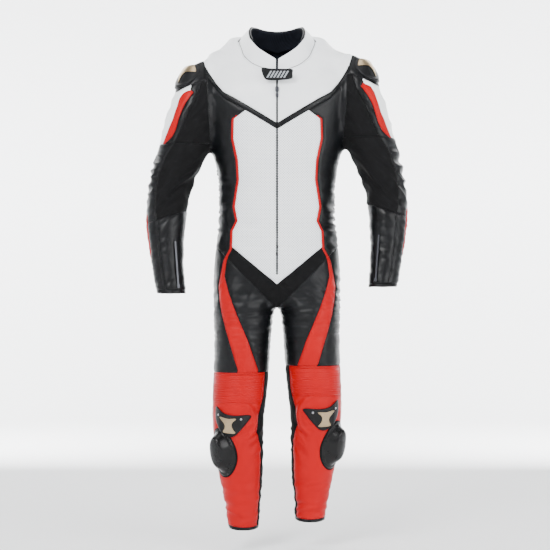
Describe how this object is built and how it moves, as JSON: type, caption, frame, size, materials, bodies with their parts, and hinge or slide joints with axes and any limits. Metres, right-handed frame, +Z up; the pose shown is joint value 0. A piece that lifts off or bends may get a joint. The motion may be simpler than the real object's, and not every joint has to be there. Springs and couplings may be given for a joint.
{
  "type": "motorcycle racing suit",
  "caption": "One-piece leather riding suit with stand-up collar, front zip, armoured shoulders and knees, stretch gussets and knee sliders.",
  "frame": {"origin": "middle of the neck at the height of the shoulder line, where a hanger carries the suit", "axes": "+Z up along the hanging suit, -Y the wearer's front, +X the wearer's left"},
  "size_m": [0.74, 0.2505, 1.419],
  "materials": {
    "white_leather": "smooth",
    "black_leather": "smooth",
    "red_leather": "smooth",
    "black_stretch": "matte",
    "black_mesh": "matte",
    "hook_loop": "matte",
    "armour_foam": "matte",
    "cup_plastic": "satin",
    "puck_plastic": "gloss",
    "bronze_metal": "brushed",
    "zip_metal": "satin"
  },
  "bodies": {
    "torso": {"front_panel_left": "white_leather", "front_panel_right": "white_leather", "side_panel_left": "black_leather", "side_panel_right": "black_leather", "front_yoke": "white_leather", "chest_v_trim": "black_leather", "crotch_stretch_panel": "black_stretch", "upper_back_panel": "black_leather", "lumbar_stretch_panel": "black_stretch", "seat_panel": "black_leather", "back_protector": "armour_foam", "collar_shell": "black_leather", "collar_lining": "black_mesh", "main_zip_chain": "zip_metal"},
    "collar_tab": {"collar_tab": "black_leather", "collar_tab_patch": "hook_loop"},
    "main_zip_slider": {"main_zip_slider": "zip_metal"},
    "main_zip_pull": {"main_zip_pull": "zip_metal"},
    "upper_sleeve_left": {"upper_sleeve_leather_left": "black_leather", "upper_sleeve_stretch_left": "black_stretch", "elbow_stretch_left": "black_stretch", "shoulder_cup_left": "cup_plastic", "shoulder_plate_left": "bronze_metal"},
    "forearm_left": {"forearm_leather_left": "black_leather", "forearm_front_left": "black_leather", "cuff_binding_left": "black_leather", "cuff_zip_chain_left": "zip_metal"},
    "cuff_zip_slider_left": {"cuff_zip_slider_left": "zip_metal"},
    "thigh_left": {"thigh_front_left": "black_leather", "thigh_back_left": "black_leather", "knee_accordion_left": "red_leather", "knee_back_stretch_left": "black_stretch"},
    "shin_left": {"shin_front_left": "red_leather", "calf_panel_left": "black_leather", "hem_binding_left": "black_leather", "knee_cup_left": "cup_plastic", "knee_plate_left": "bronze_metal", "slider_patch_left": "hook_loop"},
    "knee_slider_left": {"knee_slider_left": "puck_plastic"},
    "upper_sleeve_right": {"upper_sleeve_leather_right": "black_leather", "upper_sleeve_stretch_right": "black_stretch", "elbow_stretch_right": "black_stretch", "shoulder_cup_right": "cup_plastic", "shoulder_plate_right": "bronze_metal"},
    "forearm_right": {"forearm_leather_right": "black_leather", "forearm_front_right": "black_leather", "cuff_binding_right": "black_leather", "cuff_zip_chain_right": "zip_metal"},
    "cuff_zip_slider_right": {"cuff_zip_slider_right": "zip_metal"},
    "thigh_right": {"thigh_front_right": "black_leather", "thigh_back_right": "black_leather", "knee_accordion_right": "red_leather", "knee_back_stretch_right": "black_stretch"},
    "shin_right": {"shin_front_right": "red_leather", "calf_panel_right": "black_leather", "hem_binding_right": "black_leather", "knee_cup_right": "cup_plastic", "knee_plate_right": "bronze_metal", "slider_patch_right": "hook_loop"},
    "knee_slider_right": {"knee_slider_right": "puck_plastic"}
  },
  "joints": [
    {"name": "main_zip_slide", "type": "slide", "parent": "torso", "child": "main_zip_slider", "axis": [0, 0, -1], "range_m": [0, 0.499]},
    {"name": "main_zip_pull_flip", "type": "hinge", "parent": "main_zip_slider", "child": "main_zip_pull", "pos_m": [0, -0.1178, -0.114], "axis": [-1, 0, 0], "range_deg": [0, 120]},
    {"name": "collar_tab_open", "type": "hinge", "parent": "torso", "child": "collar_tab", "pos_m": [0.04, -0.121, -0.076], "axis": [0, 0, 1], "range_deg": [0, 150]},
    {"name": "shoulder_flex_left", "type": "hinge", "parent": "torso", "child": "upper_sleeve_left", "pos_m": [0.192, -0.005, -0.15], "axis": [-0.9986, 0, 0.0523], "range_deg": [0, 60]},
    {"name": "elbow_flex_left", "type": "hinge", "parent": "upper_sleeve_left", "child": "forearm_left", "pos_m": [0.30444, -0.03588, -0.383], "axis": [-1, 0, 0], "range_deg": [0, 80], "deforming": ["elbow_stretch_left"]},
    {"name": "cuff_zip_slide_left", "type": "slide", "parent": "forearm_left", "child": "cuff_zip_slider_left", "axis": [0.0746, 0.084, 0.9937], "range_m": [0, 0.116]},
    {"name": "hip_flex_left", "type": "hinge", "parent": "torso", "child": "thigh_left", "pos_m": [0.0905, 0.004, -0.6335], "axis": [-0.7071, 0, 0.7071], "range_deg": [0, 60]},
    {"name": "knee_flex_left", "type": "hinge", "parent": "thigh_left", "child": "shin_left", "pos_m": [0.10775, 0.02777, -0.973], "axis": [0.9613, -0.2756, 0], "range_deg": [0, 70], "deforming": ["knee_back_stretch_left"]},
    {"name": "knee_slider_pull_left", "type": "slide", "parent": "shin_left", "child": "knee_slider_left", "axis": [0.809, -0.5878, 0], "range_m": [0, 0.06]},
    {"name": "shoulder_flex_right", "type": "hinge", "parent": "torso", "child": "upper_sleeve_right", "pos_m": [-0.192, -0.005, -0.15], "axis": [-0.9986, 0, -0.0523], "range_deg": [0, 60]},
    {"name": "elbow_flex_right", "type": "hinge", "parent": "upper_sleeve_right", "child": "forearm_right", "pos_m": [-0.30444, -0.03588, -0.401], "axis": [-1, 0, 0], "range_deg": [0, 80], "deforming": ["elbow_stretch_right"]},
    {"name": "cuff_zip_slide_right", "type": "slide", "parent": "forearm_right", "child": "cuff_zip_slider_right", "axis": [-0.0746, 0.084, 0.9937], "range_m": [0, 0.116]},
    {"name": "hip_flex_right", "type": "hinge", "parent": "torso", "child": "thigh_right", "pos_m": [-0.0905, 0.004, -0.6335], "axis": [-0.7071, 0, -0.7071], "range_deg": [0, 60]},
    {"name": "knee_flex_right", "type": "hinge", "parent": "thigh_right", "child": "shin_right", "pos_m": [-0.10775, 0.01435, -0.991], "axis": [0.9613, 0.2756, 0], "range_deg": [0, 70], "deforming": ["knee_back_stretch_right"]},
    {"name": "knee_slider_pull_right", "type": "slide", "parent": "shin_right", "child": "knee_slider_right", "axis": [-0.7193, -0.6947, 0], "range_m": [0, 0.06]}
  ]
}
